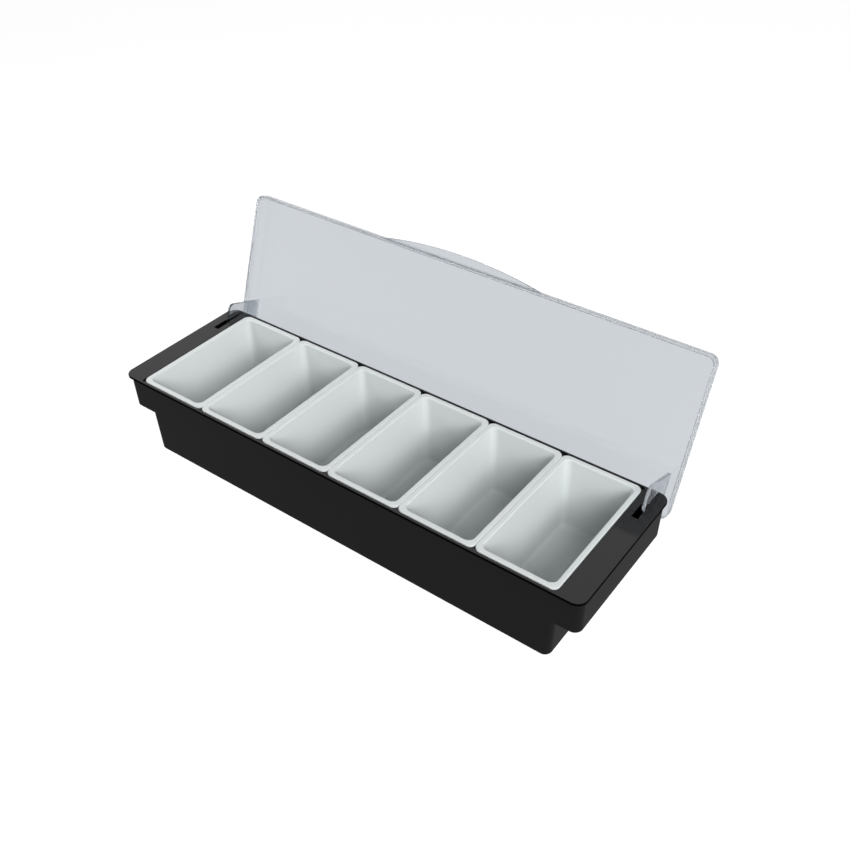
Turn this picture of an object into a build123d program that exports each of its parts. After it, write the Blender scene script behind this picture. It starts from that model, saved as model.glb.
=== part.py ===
"""Bar garnish tray: a black housing, six lift-out white inserts and a clear hinged lid, shown open.

The origin is the centre of the housing's underside. X runs along the tray, +Y points to the hinge side at
the rear, and Z is up. All sizes are in millimetres and all angles in degrees.
"""

from build123d import *
import math
import os

# Inserts
insert_count = 6
insert_width = 75.3
insert_length = 141.4
insert_gap = 0.2
insert_rim_thickness = 1.9
insert_rim_reach = 4.8
insert_rim_corner_radius = 6.5
insert_rim_edge_radius = 0.7
insert_wall = 1.6
insert_depth = 71.6
insert_draft = 3.0
insert_corner_radius = 6.0
insert_floor_radius = 4.5
insert_mouth_radius = 1.2

# Ledge that carries the insert rims, and the room round and under the inserts
ledge_drop = 1.3
end_ledge = 3.6
side_ledge = 3.4
insert_play = 1.0
recess_corner_radius = 2.5
under_insert_space = 6.0

# Housing: flange and lands
land_length = 22.6
side_strip = 2.4
flange_thickness = 2.6
flange_corner_radius = 9.8
flange_edge_radius = 0.6

# Housing: skirt
wall = 2.5
end_overhang = 2.0
side_draft = 1.8
skirt_height = 36.8
skirt_corner_radius = 7.6
skirt_end_draft = 0.3
skirt_edge_radius = 0.8

# Housing: tub
tub_corner_radius = 7.0
tub_end_draft = 1.7
floor_thickness = 3.0
base_edge_radius = 2.0
well_floor_radius = 3.0

# Lid
lid_end_setback = 1.6
lid_front_setback = 0.55
lid_rear_overhang = 0.95
lid_rest_gap = 0.3
lid_depth = 12.2
lid_wall = 2.2
lid_draft = 1.8
lid_corner_radius = 8.5
lid_shoulder_radius = 5.0
lid_open_angle = 109.3
thumb_lip_length = 182.6
thumb_lip_reach = 9.0
thumb_lip_thickness = 2.4
thumb_lip_edge_radius = 0.7

# Lid ears, their slots and the hinge
ear_inset = 13.5
ear_thickness = 2.8
ear_play = 0.35
ear_front_setback = 38.6
ear_heel_setback = 18.0
ear_drop = 45.2
ear_corner_radius = 5.0
ear_heel_radius = 3.5
pivot_setback = 9.65
pivot_drop = 15.4
hub_radius = 6.0
stud_radius = 2.5
stud_reach = 1.55
stud_clearance = 0.05
seat_mouth_width = 4.4
stop_gap = 0.2
swing_clearance = 0.1
slot_front_play = 1.9
entry_length = 17.0
entry_width = 6.1
rib_thickness = 2.4
rib_reach = 9.5
rib_drop = 8.5

# Shared by all cuts
overrun = 1.0

# Sizes and places that follow from those above
insert_pitch = insert_width + insert_gap
insert_row_length = insert_count * insert_pitch - insert_gap
insert_body_height = insert_depth + insert_wall - insert_rim_thickness
recess_length = insert_row_length + 2 * insert_play
recess_width = insert_length + 2 * insert_play
tray_length = recess_length + 2 * land_length
tray_width = recess_width + 2 * side_strip
ledge_height = floor_thickness + under_insert_space + insert_body_height
insert_top = ledge_height + insert_rim_thickness
tray_height = ledge_height + ledge_drop
flange_underside = tray_height - flange_thickness
skirt_bottom = tray_height - skirt_height
lid_rim_height = tray_height + lid_rest_gap
lid_top_height = lid_rim_height + lid_depth
lid_front = lid_front_setback - tray_width / 2
lid_rear = lid_rear_overhang + tray_width / 2
lid_middle = (lid_front + lid_rear) / 2
ear_x = tray_length / 2 - ear_inset
pivot_y = tray_width / 2 - pivot_setback
pivot_z = tray_height - pivot_drop
slot_width = ear_thickness + 2 * ear_play


def spread(height, angle):
    """Sideways travel of a drafted wall over a height."""
    return height * math.tan(math.radians(angle))


def drafted_block(lower_size, upper_size, radius, bottom, top):
    """Upright block with rounded corners and sloping sides between two heights."""
    lower = Pos(0, 0, bottom) * RectangleRounded(*lower_size, radius)
    upper = Pos(0, 0, top) * RectangleRounded(*upper_size, radius)
    return loft([lower, upper], ruled=True)


def bottom_edges(part):
    """Edges of a part's lowest face."""
    return part.faces().sort_by(Axis.Z)[0].edges()


def top_edges(part):
    """Edges of a part's highest face."""
    return part.faces().sort_by(Axis.Z)[-1].edges()


def side_width(height):
    """Width of the housing over its front and rear walls at a height."""
    return recess_width - 2 * side_ledge + 2 * wall - 2 * spread(ledge_height - height, side_draft)


def skirt_block(inset, bottom, top):
    """Skirt outline, moved in by an inset, between two heights."""

    def size(height):
        length = tray_length - 2 * end_overhang - 2 * spread(tray_height - height, skirt_end_draft)
        return length - 2 * inset, side_width(height) - 2 * inset

    return drafted_block(size(bottom), size(top), skirt_corner_radius - inset, bottom, top)


def tub_block(inset, bottom, top):
    """Tub outline, moved in by an inset, between two heights."""

    def size(height):
        length = recess_length - 2 * end_ledge + 2 * wall
        length -= 2 * spread(ledge_height - height, tub_end_draft)
        return length - 2 * inset, side_width(height) - 2 * inset

    return drafted_block(size(bottom), size(top), tub_corner_radius - inset, bottom, top)


def make_shell():
    """Flange, skirt and tub as one hollow moulding, open at the top."""
    plate = RectangleRounded(tray_length, tray_width, flange_corner_radius)
    flange = Pos(0, 0, flange_underside) * extrude(plate, flange_thickness)
    flange = fillet(bottom_edges(flange) + top_edges(flange), flange_edge_radius)
    skirt = skirt_block(0, skirt_bottom, flange_underside)
    skirt = fillet(bottom_edges(skirt), skirt_edge_radius)
    skirt -= skirt_block(wall, skirt_bottom - overrun, flange_underside)
    tub = tub_block(0, 0, flange_underside)
    tub = fillet(bottom_edges(tub), base_edge_radius)
    well = tub_block(wall, floor_thickness, tray_height + overrun)
    well = fillet(bottom_edges(well), well_floor_radius)
    return flange + skirt + tub - well


def make_recess():
    """Shallow recess in the flange whose floor is the ledge under the insert rims."""
    plan = RectangleRounded(recess_length, recess_width, recess_corner_radius)
    return Pos(0, 0, ledge_height) * extrude(plan, ledge_drop + overrun)


def make_slot():
    """All that is cut away for one ear: wide entry, narrow run and sloping notch in the rear wall."""
    entry_front = lid_rear - ear_front_setback - slot_front_play
    entry_rear = entry_front + entry_length
    cut_height = flange_thickness + 2 * overrun
    entry = Box(entry_width, entry_length, cut_height, align=(Align.CENTER, Align.MIN, Align.MIN))
    entry = Pos(0, entry_front, flange_underside - overrun) * entry
    run_length = tray_width / 2 + overrun - entry_rear
    run_height = tray_height + overrun - pivot_z
    run = Box(slot_width, run_length, run_height, align=(Align.CENTER, Align.MIN, Align.MIN))
    run = Pos(0, entry_rear, pivot_z) * run
    notch_depth = hub_radius + stop_gap
    notch = Box(slot_width, 2 * notch_depth, tray_width, align=(Align.CENTER, Align.CENTER, Align.MIN))
    notch = Rot(-lid_open_angle, 0, 0) * notch
    return entry + run + Pos(0, pivot_y, pivot_z) * notch


def make_seat_ribs():
    """Two ribs under a land, one each side of the slot, with a snap seat for the ear's studs."""
    rear = side_width(tray_height) / 2 - wall / 2
    depth = rear - pivot_y + rib_reach
    height = flange_underside - pivot_z + rib_drop
    rib = Box(rib_thickness, depth, height, align=(Align.CENTER, Align.MAX, Align.MAX))
    offset = (slot_width + rib_thickness) / 2
    ribs = Part()
    for side in (-1, 1):
        ribs += Pos(side * offset, rear, flange_underside) * rib
    span = slot_width + 2 * rib_thickness + 2 * overrun
    seat = Rot(0, 90, 0) * Cylinder(stud_radius + stud_clearance, span)
    mouth_length = rib_reach + overrun
    mouth = Box(span, mouth_length, seat_mouth_width, align=(Align.CENTER, Align.MAX, Align.CENTER))
    return ribs - Pos(0, pivot_y, pivot_z) * (seat + mouth)


def make_housing():
    """The black base: tub, lands, skirt, insert ledge, ear slots and hinge seats."""
    housing = make_shell() - make_recess()
    for side in (-1, 1):
        housing -= Pos(side * ear_x, 0, 0) * make_slot()
        housing += Pos(side * ear_x, 0, 0) * make_seat_ribs()
    return housing


def insert_block(inset, radius, top, depth, floor_radius):
    """Tapered insert body, moved in by an inset, with a rounded floor."""
    width = insert_width - 2 * inset
    length = insert_length - 2 * inset
    narrowing = 2 * spread(depth, insert_draft)
    lower_size = (width - narrowing, length - narrowing)
    block = drafted_block(lower_size, (width, length), radius, top - depth, top)
    return fillet(bottom_edges(block), floor_radius)


def make_insert():
    """One white insert, centred on X and Y: flat rim, tapered walls and rounded corners."""
    plate = RectangleRounded(insert_width, insert_length, insert_rim_corner_radius)
    rim = Pos(0, 0, ledge_height) * extrude(plate, insert_rim_thickness)
    rim = fillet(top_edges(rim), insert_rim_edge_radius)
    outer_inset = insert_rim_reach - insert_wall
    outer_corner = insert_corner_radius + insert_wall
    outer_floor = insert_floor_radius + insert_wall
    outer = insert_block(outer_inset, outer_corner, ledge_height, insert_body_height, outer_floor)
    inner = insert_block(
        insert_rim_reach, insert_corner_radius, insert_top, insert_depth, insert_floor_radius
    )
    insert = rim + outer - inner
    mouth = insert.faces().sort_by(Axis.Z)[-1].inner_wires()[0]
    return fillet(mouth.edges(), insert_mouth_radius)


def lid_pan(inset, top, shoulder):
    """Drafted block with a rounded shoulder, moved in by an inset from the lid's outside."""
    narrowing = 2 * spread(top - lid_rim_height, lid_draft)
    length = tray_length - 2 * lid_end_setback - 2 * inset
    width = lid_rear - lid_front - 2 * inset
    upper_size = (length - narrowing, width - narrowing)
    block = drafted_block((length, width), upper_size, lid_corner_radius - inset, lid_rim_height, top)
    return Pos(0, lid_middle, 0) * fillet(top_edges(block), shoulder)


def make_lid_cover():
    """The lid's shallow pan, closed, with its rim relieved where it swings past the flange's edge."""
    outside = lid_pan(0, lid_top_height, lid_shoulder_radius)
    inside = lid_pan(lid_wall, lid_top_height - lid_wall, lid_shoulder_radius - lid_wall)
    relief_radius = math.hypot(pivot_setback, pivot_drop) + swing_clearance
    relief = Rot(0, 90, 0) * Cylinder(relief_radius, tray_length)
    return outside - inside - Pos(0, pivot_y, pivot_z) * relief


def make_thumb_lip():
    """Curved lip along the middle of the lid's front edge, level with its rim."""
    half = thumb_lip_length / 2
    root = lid_front + lid_wall / 2
    bow = ThreePointArc((-half, lid_front), (0, lid_front - thumb_lip_reach), (half, lid_front))
    back = Polyline((half, lid_front), (half, root), (-half, root), (-half, lid_front))
    lip = extrude(make_face(bow + back), thumb_lip_thickness)
    lip = fillet(lip.edges().filter_by(GeomType.CIRCLE), thumb_lip_edge_radius)
    return Pos(0, 0, lid_rim_height) * lip


def make_ear_plate():
    """Flat outline of one closed ear in the YZ plane: step at the rear wall, hub side, heel and toe."""
    root = lid_top_height - lid_wall / 2
    step = lid_rear - lid_wall / 2
    front = lid_rear - ear_front_setback
    heel = lid_rear - ear_heel_setback
    rear = pivot_y + hub_radius
    foot = lid_top_height - ear_drop
    corners = [(rear, pivot_z), (rear, lid_rim_height), (step, lid_rim_height), (step, root)]
    corners += [(front, root), (front, foot), (heel, foot), (rear, pivot_z)]
    outline = make_face(Polyline(*corners))
    outline = fillet(outline.vertices().sort_by_distance((front, foot))[0], ear_corner_radius)
    outline = fillet(outline.vertices().sort_by_distance((heel, foot))[0], ear_heel_radius)
    return Plane.YZ * outline


def make_ear():
    """One ear of the closed lid, centred on X: plate, round hub and two hinge studs."""
    pivot = Pos(0, pivot_y, pivot_z) * Rot(0, 90, 0)
    ear = extrude(make_ear_plate(), ear_thickness / 2, both=True)
    ear += pivot * Cylinder(hub_radius, ear_thickness)
    return ear + pivot * Cylinder(stud_radius, ear_thickness + 2 * stud_reach)


def make_lid():
    """The clear lid, turned back about its hinge to its open stop."""
    lid = make_lid_cover() + make_thumb_lip()
    for side in (-1, 1):
        lid += Pos(side * ear_x, 0, 0) * make_ear()
    hinge = Axis((0, pivot_y, pivot_z), (1, 0, 0))
    return lid.rotate(hinge, -lid_open_angle)


def make_parts():
    """Every node of the tray by name."""
    parts = {"housing": make_housing(), "lid": make_lid()}
    first = -insert_pitch * (insert_count - 1) / 2
    for index in range(insert_count):
        parts[f"insert_{index + 1}"] = Pos(first + index * insert_pitch, 0, 0) * make_insert()
    return parts


def main():
    """Write one STEP file for each node."""
    os.makedirs("parts", exist_ok=True)
    for name, part in make_parts().items():
        export_step(part, f"parts/{name}.step")


main()
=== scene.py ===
"""Bar garnish tray in a plain studio: black housing, white inserts and a clear open lid.

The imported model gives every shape. This script gives each moulding its plastic, and sets up the
floor, the lights and the camera. All lengths are in metres.
"""

from __future__ import annotations

import logging
from dataclasses import dataclass, field
from enum import Enum
from typing import Any

import bpy
from mathutils import Matrix, Vector


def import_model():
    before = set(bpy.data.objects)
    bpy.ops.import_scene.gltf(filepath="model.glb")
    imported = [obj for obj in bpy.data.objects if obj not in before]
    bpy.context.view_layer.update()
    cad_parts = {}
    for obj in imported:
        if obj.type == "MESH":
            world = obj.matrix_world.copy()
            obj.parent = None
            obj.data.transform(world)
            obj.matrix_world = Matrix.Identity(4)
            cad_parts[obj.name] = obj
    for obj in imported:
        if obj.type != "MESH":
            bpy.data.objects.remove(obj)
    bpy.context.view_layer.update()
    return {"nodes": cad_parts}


LOG = logging.getLogger("garnish_tray")

# Step between two nodes in a node editor, and the colour sockets of a Mix node, by number
NODE_STEP = 220
MIX_SHARE, MIX_FIRST, MIX_SECOND, MIX_RESULT = 0, 6, 7, 2

Colour = tuple[float, float, float]
Range = tuple[float, float]
FULL_RANGE: Range = (0.0, 1.0)


class Moulding(Enum):
    """The mouldings of the tray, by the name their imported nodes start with."""

    HOUSING = "housing"
    LID = "lid"
    INSERT = "insert"


class Ray(Enum):
    """Outputs of the Light Path node that the studio materials tell apart."""

    CAMERA = "Is Camera Ray"
    GLOSSY = "Is Glossy Ray"
    TRANSMISSION = "Is Transmission Ray"
    SHADOW = "Is Shadow Ray"


class Graph:
    """A small helper that adds nodes to one node tree and joins them."""

    def __init__(self, tree: bpy.types.NodeTree) -> None:
        """Start on an empty tree.

        Args:
            tree: The tree of a material, world or node group; its nodes are cleared.
        """
        self.tree = tree
        self.tree.nodes.clear()
        self.column = 0

    def add(self, kind: str, **values: Any) -> bpy.types.Node:
        """Add one node and set its inputs by socket name.

        Args:
            kind: The node's type, such as "ShaderNodeMix".
            **values: Socket names with spaces written as underscores, and their values. A value
                that is a socket is linked instead.

        Returns:
            The new node.
        """
        node = self.tree.nodes.new(kind)
        node.location = (self.column, 0)
        self.column += NODE_STEP
        for name, value in values.items():
            self.put(node, name.replace("_", " "), value)
        return node

    def put(self, node: bpy.types.Node, name: str | int, value: Any) -> None:
        """Set one input of a node, or link a socket to it.

        Args:
            node: The node that owns the input.
            name: The input's name or number.
            value: A plain value, or an output socket.
        """
        if isinstance(value, bpy.types.NodeSocket):
            self.tree.links.new(value, node.inputs[name])
        else:
            node.inputs[name].default_value = value

    def maths(self, operation: str, first: Any, second: Any = 0.0) -> bpy.types.NodeSocket:
        """Add a Math node.

        Args:
            operation: The node's operation, such as "MULTIPLY".
            first: The first number or socket.
            second: The second number or socket.

        Returns:
            The result socket.
        """
        node = self.add("ShaderNodeMath")
        node.operation = operation
        self.put(node, 0, first)
        self.put(node, 1, second)
        return node.outputs[0]

    def fit(self, value: Any, source: Range, target: Range = FULL_RANGE) -> bpy.types.NodeSocket:
        """Map a value from one range to another, clamped.

        Args:
            value: The socket to map.
            source: The start and end of its range.
            target: The results at that start and end.

        Returns:
            The result socket.
        """
        node = self.add("ShaderNodeMapRange")
        for name, number in zip(("From Min", "From Max", "To Min", "To Max"), source + target):
            node.inputs[name].default_value = number
        self.put(node, "Value", value)
        return node.outputs["Result"]

    def noise(
        self, place: Any, scale: Any, detail: float, roughness: float
    ) -> bpy.types.NodeSocket:
        """Add a noise texture.

        Args:
            place: The socket that says where it is read.
            scale: How fine it is, as a number or socket.
            detail: How many finer layers it has.
            roughness: How much those layers count.

        Returns:
            The socket of its value.
        """
        node = self.add("ShaderNodeTexNoise", Vector=place, Scale=scale)
        self.put(node, "Detail", detail)
        self.put(node, "Roughness", roughness)
        return node.outputs[0]

    def blend_colours(self, share: Any, first: Any, second: Any) -> bpy.types.NodeSocket:
        """Mix two colours.

        Args:
            share: How much of the second colour shows, as a number or socket.
            first: The first colour or socket.
            second: The second colour or socket.

        Returns:
            The mixed colour's socket.
        """
        node = self.add("ShaderNodeMix")
        node.data_type = "RGBA"
        self.put(node, MIX_SHARE, share)
        self.put(node, MIX_FIRST, first)
        self.put(node, MIX_SECOND, second)
        return node.outputs[MIX_RESULT]


def seen_rays(graph: Graph) -> bpy.types.NodeSocket:
    """Tell the rays that show the background: from the camera, through plastic or off a gloss.

    Args:
        graph: The tree of the floor's material or the world.

    Returns:
        A socket that is 1 on those rays and 0 on the others.
    """
    path = graph.add("ShaderNodeLightPath")
    seen = graph.maths("ADD", path.outputs[Ray.CAMERA.value], path.outputs[Ray.TRANSMISSION.value])
    return graph.maths("MINIMUM", graph.maths("ADD", seen, path.outputs[Ray.GLOSSY.value]), 1.0)


@dataclass(frozen=True)
class MouldedSurface:
    """Node group for a moulded surface: slow waviness, fine grain, and faint handling marks.

    Attributes:
        name: The group's name.
        rub_turn: How the rubbed marks are turned about each axis, in radians.
        rub_stretch: How much finer the marks are along each axis.
        rub_scale: How many marks fit in a metre.
        rub_range: The noise values where a mark begins and where it is full.
        patch_scale: How many patches of marks fit in a metre.
        patch_range: The noise values where a patch begins and where it is full.
        middle: The middle value of a noise.
    """

    name: str = "moulded surface"
    rub_turn: tuple[float, float, float] = (0.4, 0.2, 0.9)
    rub_stretch: tuple[float, float, float] = (1.0, 14.0, 3.0)
    rub_scale: float = 34.0
    rub_range: Range = (0.56, 0.74)
    patch_scale: float = 11.0
    patch_range: Range = (0.35, 0.7)
    middle: float = 0.5

    def build(self) -> bpy.types.NodeTree:
        """Make the node group, or return the one that was made before.

        Returns:
            The group, with inputs for sizes and amounts, and outputs for height, gloss change and
            shade change.
        """
        if self.name in bpy.data.node_groups:
            return bpy.data.node_groups[self.name]
        tree = bpy.data.node_groups.new(self.name, "ShaderNodeTree")
        for label, low, high, start in (
            ("Wave Size", 0.001, 1.0, 0.05),
            ("Grain Size", 0.00005, 0.1, 0.0006),
            ("Grain Share", 0.0, 1.0, 0.2),
            ("Mark Amount", 0.0, 1.0, 0.3),
        ):
            socket = tree.interface.new_socket(label, in_out="INPUT", socket_type="NodeSocketFloat")
            socket.min_value = low
            socket.max_value = high
            socket.default_value = start
        for label in ("Height", "Gloss Change", "Shade Change"):
            tree.interface.new_socket(label, in_out="OUTPUT", socket_type="NodeSocketFloat")
        graph = Graph(tree)
        inside = graph.add("NodeGroupInput")
        place = graph.add("ShaderNodeTexCoord").outputs["Object"]
        wave_scale = graph.maths("DIVIDE", 1.0, inside.outputs["Wave Size"])
        grain_scale = graph.maths("DIVIDE", 1.0, inside.outputs["Grain Size"])
        wave = graph.noise(place, wave_scale, detail=2.0, roughness=0.4)
        grain = graph.noise(place, grain_scale, detail=2.0, roughness=0.5)
        coarse = graph.maths("SUBTRACT", 1.0, inside.outputs["Grain Share"])
        height = graph.maths(
            "ADD",
            graph.maths("MULTIPLY", wave, coarse),
            graph.maths("MULTIPLY", grain, inside.outputs["Grain Share"]),
        )
        stretch = graph.add("ShaderNodeMapping", Vector=place)
        graph.put(stretch, "Rotation", self.rub_turn)
        graph.put(stretch, "Scale", self.rub_stretch)
        rub = graph.noise(stretch.outputs[0], self.rub_scale, detail=5.0, roughness=0.62)
        patch = graph.noise(place, self.patch_scale, detail=3.0, roughness=0.55)
        rub_mask = graph.fit(rub, self.rub_range)
        patch_mask = graph.fit(patch, self.patch_range)
        marks = graph.maths("MULTIPLY", rub_mask, patch_mask)
        marks = graph.maths("MULTIPLY", marks, inside.outputs["Mark Amount"])
        shade = graph.maths("SUBTRACT", patch, self.middle)
        outside = graph.add("NodeGroupOutput")
        graph.put(outside, "Height", height)
        graph.put(outside, "Gloss Change", marks)
        graph.put(outside, "Shade Change", shade)
        return tree


@dataclass(frozen=True)
class SatinSkin:
    """Node group for the housing's skin: glossy lands, duller walls and a painted-shade flange
    edge.

    Attributes:
        name: The group's name.
        land_coat: Strength of the gloss on faces that look up.
        wall_coat: Strength of the gloss on walls.
        upward_range: How far up a face looks where it begins to count as a land, and fully does.
        edge_low: Height where the flange's edge begins, in metres.
        edge_blend: Height over which the edge fades in, in metres.
    """

    name: str = "satin skin"
    land_coat: float = 0.8
    wall_coat: float = 0.13
    upward_range: Range = (0.8, 0.97)
    edge_low: float = 0.0787
    edge_blend: float = 0.0003

    def build(self) -> bpy.types.NodeTree:
        """Make the node group.

        Returns:
            The group, with the outputs for its gloss and for the flange edge's painted shade.
        """
        tree = bpy.data.node_groups.new(self.name, "ShaderNodeTree")
        for label in ("Gloss", "Edge Shade Mask"):
            tree.interface.new_socket(label, in_out="OUTPUT", socket_type="NodeSocketFloat")
        graph = Graph(tree)
        place = graph.add("ShaderNodeTexCoord")
        facing = graph.add("ShaderNodeSeparateXYZ", Vector=place.outputs["Normal"])
        height = graph.add("ShaderNodeSeparateXYZ", Vector=place.outputs["Object"])
        upward = graph.fit(facing.outputs["Z"], self.upward_range)
        high = graph.fit(height.outputs["Z"], (self.edge_low, self.edge_low + self.edge_blend))
        # The flange edge's mask: the colour there is darkened as painted shade of the gap under the
        # flange, and its gloss is taken off.
        edge = graph.maths("MULTIPLY", high, graph.maths("SUBTRACT", 1.0, upward))
        gloss = graph.fit(upward, FULL_RANGE, (self.wall_coat, self.land_coat))
        gloss = graph.maths("MULTIPLY", gloss, graph.maths("SUBTRACT", 1.0, edge))
        outside = graph.add("NodeGroupOutput")
        graph.put(outside, "Gloss", gloss)
        graph.put(outside, "Edge Shade Mask", edge)
        return tree


@dataclass(frozen=True)
class OpaquePlastic:
    """A solid-coloured moulded plastic.

    Attributes:
        name: The material's name.
        colour: Its colour, linear.
        edge_colour: The slightly different colour of rubbed patches.
        roughness: How matt it is.
        rubbed_roughness: How matt the rubbed patches are.
        specular: The strength of its reflection.
        bump: Height of the grain and waviness in metres.
        wave_size: Size of the slow waviness in metres.
        grain_size: Size of the grain in metres.
        grain_share: How much of the height is grain.
        mark_amount: How strong the rubbed marks are.
        shade_range: The shade changes that give the plain colour and the rubbed one.
        skin: The skin that varies the gloss over the moulding and paints shade on its flange edge,
            if it has one.
        skin_roughness: How matt that gloss is.
        edge_shade_colour: The darker colour painted on the flange edge as shade of the gap under
            it.
    """

    name: str
    colour: Colour
    edge_colour: Colour
    roughness: float
    rubbed_roughness: float
    specular: float
    bump: float
    wave_size: float = 0.05
    grain_size: float = 0.0006
    grain_share: float = 0.2
    mark_amount: float = 0.3
    shade_range: Range = (-0.3, 0.3)
    skin: SatinSkin | None = None
    skin_roughness: float = 0.3
    edge_shade_colour: Colour = (0.0, 0.0, 0.0)

    def build(self) -> bpy.types.Material:
        """Make the material.

        Returns:
            The new material.
        """
        material = bpy.data.materials.new(self.name)
        material.use_nodes = True
        graph = Graph(material.node_tree)
        surface = graph.add("ShaderNodeGroup")
        surface.node_tree = MouldedSurface().build()
        surface.inputs["Wave Size"].default_value = self.wave_size
        surface.inputs["Grain Size"].default_value = self.grain_size
        surface.inputs["Grain Share"].default_value = self.grain_share
        surface.inputs["Mark Amount"].default_value = self.mark_amount
        shade = graph.fit(surface.outputs["Shade Change"], self.shade_range)
        colour = graph.blend_colours(shade, (*self.colour, 1.0), (*self.edge_colour, 1.0))
        gloss_change = surface.outputs["Gloss Change"]
        rough = graph.fit(gloss_change, FULL_RANGE, (self.roughness, self.rubbed_roughness))
        bump = graph.add("ShaderNodeBump", Distance=self.bump, Height=surface.outputs["Height"])
        shader = graph.add("ShaderNodeBsdfPrincipled", Base_Color=colour, Roughness=rough)
        graph.put(shader, "Normal", bump.outputs[0])
        shader.inputs["Specular IOR Level"].default_value = self.specular
        if self.skin is not None:
            skin = graph.add("ShaderNodeGroup")
            skin.node_tree = self.skin.build()
            # On the flange edge the colour is darkened as painted shade of the gap under the
            # flange.
            edge_shade_rgba = (*self.edge_shade_colour, 1.0)
            edge_shaded_colour = graph.blend_colours(skin.outputs["Edge Shade Mask"], colour, edge_shade_rgba)
            graph.put(shader, "Base Color", edge_shaded_colour)
            graph.put(shader, "Coat Weight", skin.outputs["Gloss"])
            shader.inputs["Coat Roughness"].default_value = self.skin_roughness
        graph.add("ShaderNodeOutputMaterial", Surface=shader.outputs[0])
        return material


@dataclass(frozen=True)
class ClearPlastic:
    """Clear moulded plastic with a faint grey tint.

    Attributes:
        name: The material's name.
        tint: The colour that light takes at each surface.
        ior: How strongly it bends light.
        roughness: How matt it is.
        rubbed_roughness: How matt the rubbed marks are.
        bump: Height of its waviness in metres.
        straight_tint: The light that each surface lets straight through, as in its shadow.
        straight_share: How much light goes straight through, as in a thin wall.
        wave_size: Size of the waviness in metres.
        grain_share: How much of its height is grain.
        mark_amount: How strong the rubbed marks are.
    """

    name: str
    tint: Colour
    ior: float
    roughness: float
    rubbed_roughness: float
    bump: float
    straight_tint: Colour
    straight_share: float
    wave_size: float = 0.08
    grain_share: float = 0.0
    mark_amount: float = 0.5

    def build(self) -> bpy.types.Material:
        """Make the material.

        Returns:
            The new material.
        """
        material = bpy.data.materials.new(self.name)
        material.use_nodes = True
        graph = Graph(material.node_tree)
        surface = graph.add("ShaderNodeGroup")
        surface.node_tree = MouldedSurface().build()
        surface.inputs["Wave Size"].default_value = self.wave_size
        surface.inputs["Grain Share"].default_value = self.grain_share
        surface.inputs["Mark Amount"].default_value = self.mark_amount
        gloss_change = surface.outputs["Gloss Change"]
        rough = graph.fit(gloss_change, FULL_RANGE, (self.roughness, self.rubbed_roughness))
        bump = graph.add("ShaderNodeBump", Distance=self.bump, Height=surface.outputs["Height"])
        shader = graph.add("ShaderNodeBsdfPrincipled", Roughness=rough, Normal=bump.outputs[0])
        shader.inputs["Base Color"].default_value = (*self.tint, 1.0)
        shader.inputs["Metallic"].default_value = 0.0
        shader.inputs["Transmission Weight"].default_value = 1.0
        shader.inputs["IOR"].default_value = self.ior
        clear = graph.add("ShaderNodeBsdfTransparent", Color=(*self.straight_tint, 1.0))
        path = graph.add("ShaderNodeLightPath")
        straight = graph.maths("MAXIMUM", path.outputs[Ray.SHADOW.value], self.straight_share)
        mixed = graph.add("ShaderNodeMixShader")
        graph.put(mixed, 0, straight)
        graph.put(mixed, 1, shader.outputs[0])
        graph.put(mixed, 2, clear.outputs[0])
        graph.add("ShaderNodeOutputMaterial", Surface=mixed.outputs[0])
        return material


@dataclass(frozen=True)
class PaleFloor:
    """A pale matt floor that reads as white and keeps the object's shadow.

    Attributes:
        name: The material's name.
        colour: The colour that lights and shadows fall on.
        glow: The light added where the camera looks, straight, through clear plastic or in a gloss.
    """

    name: str
    colour: Colour
    glow: float

    def build(self) -> bpy.types.Material:
        """Make the material.

        Returns:
            The new material.
        """
        material = bpy.data.materials.new(self.name)
        material.use_nodes = True
        graph = Graph(material.node_tree)
        seen = seen_rays(graph)
        matt = graph.add("ShaderNodeBsdfDiffuse", Color=(*self.colour, 1.0))
        glow = graph.add("ShaderNodeEmission", Strength=graph.maths("MULTIPLY", seen, self.glow))
        both = graph.add("ShaderNodeAddShader")
        graph.put(both, 0, matt.outputs[0])
        graph.put(both, 1, glow.outputs[0])
        graph.add("ShaderNodeOutputMaterial", Surface=both.outputs[0])
        return material


BLACK_PLASTIC = OpaquePlastic(
    name="satin black plastic",
    colour=(0.0058, 0.0058, 0.0059),
    edge_colour=(0.0078, 0.0078, 0.008),
    roughness=0.4,
    rubbed_roughness=0.5,
    specular=0.0,
    bump=0.00006,
    grain_size=0.0007,
    grain_share=0.25,
    skin=SatinSkin(),
    skin_roughness=0.08,
    # Painted shade: the flange edge is darkened to this colour, for the gap under the flange.
    edge_shade_colour=(0.002, 0.002, 0.002),
)

WHITE_PLASTIC = OpaquePlastic(
    name="off-white plastic",
    colour=(0.604, 0.633, 0.635),
    edge_colour=(0.62, 0.65, 0.65),
    roughness=0.32,
    rubbed_roughness=0.42,
    specular=0.4,
    bump=0.00004,
    grain_size=0.0009,
    grain_share=0.2,
)

CLEAR_PLASTIC = ClearPlastic(
    name="clear plastic",
    tint=(0.56, 0.59, 0.627),
    ior=1.35,
    roughness=0.01,
    rubbed_roughness=0.05,
    bump=0.00003,
    straight_tint=(0.785, 0.80, 0.82),
    straight_share=0.25,
)

FLOOR_FINISH = PaleFloor(name="pale floor", colour=(0.14, 0.14, 0.14), glow=0.96)


def dress(node: bpy.types.Object, material: bpy.types.Material) -> None:
    """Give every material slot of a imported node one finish.

    Args:
        node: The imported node's object.
        material: The finish.
    """
    if not node.material_slots:
        node.data.materials.append(material)
    for slot in node.material_slots:
        slot.material = material


@dataclass
class Housing:
    """The black base with its lands, skirt and tub.

    Attributes:
        nodes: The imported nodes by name.
        finish: Its plastic.
    """

    nodes: dict[str, bpy.types.Object]
    finish: OpaquePlastic = BLACK_PLASTIC

    def build(self) -> list[str]:
        """Dress the housing.

        Returns:
            The names of the dressed pieces.
        """
        dress(self.nodes[Moulding.HOUSING.value], self.finish.build())
        return [Moulding.HOUSING.value]


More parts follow.
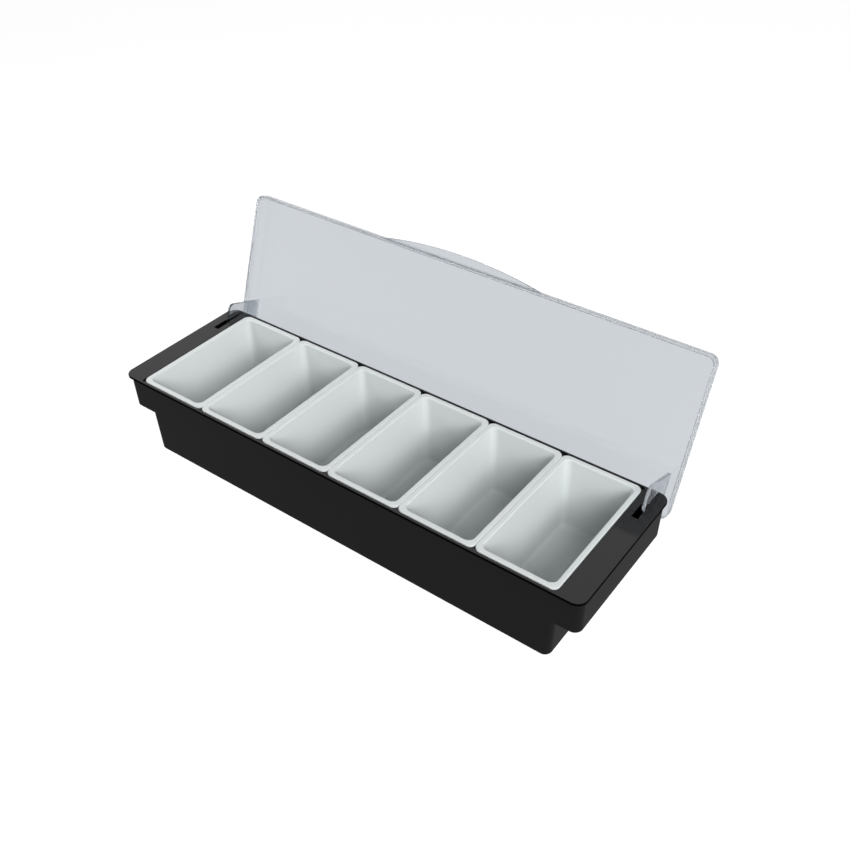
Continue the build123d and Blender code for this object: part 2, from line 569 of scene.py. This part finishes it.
@dataclass
class InsertRow:
    """The row of white lift-out inserts.

    Attributes:
        nodes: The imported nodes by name.
        finish: Their plastic.
    """

    nodes: dict[str, bpy.types.Object]
    finish: OpaquePlastic = WHITE_PLASTIC

    def build(self) -> list[str]:
        """Dress every insert.

        Returns:
            The names of the dressed pieces.
        """
        material = self.finish.build()
        names = sorted(name for name in self.nodes if name.startswith(Moulding.INSERT.value))
        for name in names:
            dress(self.nodes[name], material)
        return names


@dataclass
class Lid:
    """The clear lid with its ears and thumb lip.

    Attributes:
        nodes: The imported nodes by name.
        finish: Its plastic.
    """

    nodes: dict[str, bpy.types.Object]
    finish: ClearPlastic = CLEAR_PLASTIC

    def build(self) -> list[str]:
        """Dress the lid.

        Returns:
            The names of the dressed pieces.
        """
        dress(self.nodes[Moulding.LID.value], self.finish.build())
        return [Moulding.LID.value]


@dataclass(frozen=True)
class SoftBox:
    """One soft studio lamp, which no gloss or clear plastic shows as a hard white shape.

    Attributes:
        name: The lamp's name.
        place: Where it stands.
        size: Its width and height.
        power: Its power in watts.
        target: The point it faces.
    """

    name: str
    place: tuple[float, float, float]
    size: tuple[float, float]
    power: float
    target: tuple[float, float, float] = (0.0, 0.0, 0.08)

    def build(self) -> bpy.types.Object:
        """Make the lamp.

        Returns:
            The lamp's object.
        """
        data = bpy.data.lights.new(self.name, "AREA")
        data.shape = "RECTANGLE"
        data.size, data.size_y = self.size
        data.energy = self.power
        lamp = bpy.data.objects.new(self.name, data)
        lamp.visible_glossy = False
        lamp.visible_transmission = False
        lamp.location = self.place
        facing = Vector(self.target) - Vector(self.place)
        lamp.rotation_euler = facing.to_track_quat("-Z", "Y").to_euler()
        bpy.context.collection.objects.link(lamp)
        return lamp


@dataclass
class Studio:
    """The floor, the lamps and the surrounding light.

    Attributes:
        floor_size: Length of the floor's side.
        ambient: Strength of the light from all round.
        backdrop: Strength of the backdrop where it is seen.
        backdrop_colour: The backdrop's colour.
        lamps: The soft boxes.
    """

    floor_size: float = 12.0
    ambient: float = 0.024
    backdrop: float = 1.0
    backdrop_colour: Colour = (1.0, 1.0, 1.0)
    lamps: list[SoftBox] = field(
        default_factory=lambda: [
            SoftBox("right", (1.56, 0.0, 1.49), (0.9, 0.9), 16.8),
            SoftBox("front right", (1.29, -1.29, 1.13), (0.9, 0.9), 33.6),
            SoftBox("low right", (1.64, -1.15, 0.73), (0.9, 0.9), 8.4),
            SoftBox("left", (-0.75, -0.1, 0.6), (0.4, 0.4), 4.6, (-0.26, 0.0, 0.08)),
        ]
    )

    def build(self) -> None:
        """Make the floor, the lamps and the world."""
        self.lay_floor()
        for lamp in self.lamps:
            lamp.build()
        self.set_world()

    def lay_floor(self) -> None:
        """Lay the floor under the tray."""
        half = self.floor_size / 2
        mesh = bpy.data.meshes.new("floor")
        corners = [(-half, -half, 0.0), (half, -half, 0.0), (half, half, 0.0), (-half, half, 0.0)]
        mesh.from_pydata(corners, [], [(0, 1, 2, 3)])
        mesh.materials.append(FLOOR_FINISH.build())
        floor = bpy.data.objects.new("floor", mesh)
        bpy.context.collection.objects.link(floor)

    def set_world(self) -> None:
        """Make the surrounding light: white where the camera looks, softer on the object."""
        world = bpy.data.worlds.new("studio")
        world.use_nodes = True
        graph = Graph(world.node_tree)
        seen = seen_rays(graph)
        strength = graph.fit(seen, FULL_RANGE, (self.ambient, self.backdrop))
        glow = graph.add("ShaderNodeBackground", Color=(*self.backdrop_colour, 1.0))
        graph.put(glow, "Strength", strength)
        graph.add("ShaderNodeOutputWorld", Surface=glow.outputs[0])
        bpy.context.scene.world = world


@dataclass(frozen=True)
class PhotoCamera:
    """The camera at the photograph's viewing angle.

    Attributes:
        place: Where it stands.
        right: The direction of the picture's right side.
        up: The direction of the picture's top.
        back: The direction from the object to the camera.
        focal_pixels: Focal length in pixels of the picture.
        picture: Width of the picture in pixels.
        sensor: Width of the sensor in millimetres.
        nearest: Where the view begins.
        farthest: Where the view ends.
    """

    place: tuple[float, float, float] = (0.45472, -0.54113, 0.64582)
    right: tuple[float, float, float] = (0.80510, 0.59313, -0.00371)
    up: tuple[float, float, float] = (-0.36563, 0.50122, 0.78428)
    back: tuple[float, float, float] = (0.46704, -0.63007, 0.62040)
    focal_pixels: float = 1016.6
    picture: float = 850.0
    sensor: float = 36.0
    nearest: float = 0.01
    farthest: float = 50.0

    def build(self) -> bpy.types.Object:
        """Make the camera and use it for the scene.

        Returns:
            The camera's object.
        """
        data = bpy.data.cameras.new("photo camera")
        data.sensor_fit = "HORIZONTAL"
        data.sensor_width = self.sensor
        data.lens = self.focal_pixels * self.sensor / self.picture
        data.clip_start = self.nearest
        data.clip_end = self.farthest
        camera = bpy.data.objects.new("photo camera", data)
        turn = Matrix((self.right, self.up, self.back)).transposed()
        camera.matrix_world = Matrix.Translation(self.place) @ turn.to_4x4()
        bpy.context.collection.objects.link(camera)
        bpy.context.scene.camera = camera
        return camera


def main() -> None:
    """Load the model, dress every piece and set up the studio."""
    logging.basicConfig(level=logging.INFO, format="%(name)s: %(message)s")
    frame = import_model()
    nodes = frame["nodes"]
    bpy.context.scene.view_settings.view_transform = "Standard"
    PhotoCamera().build()
    for assembly in (Housing(nodes), InsertRow(nodes), Lid(nodes)):
        for name in assembly.build():
            LOG.info("dressed %s", name)
    Studio().build()
    LOG.info("lens %.2f mm", bpy.context.scene.camera.data.lens)


if __name__ == "__main__":
    main()
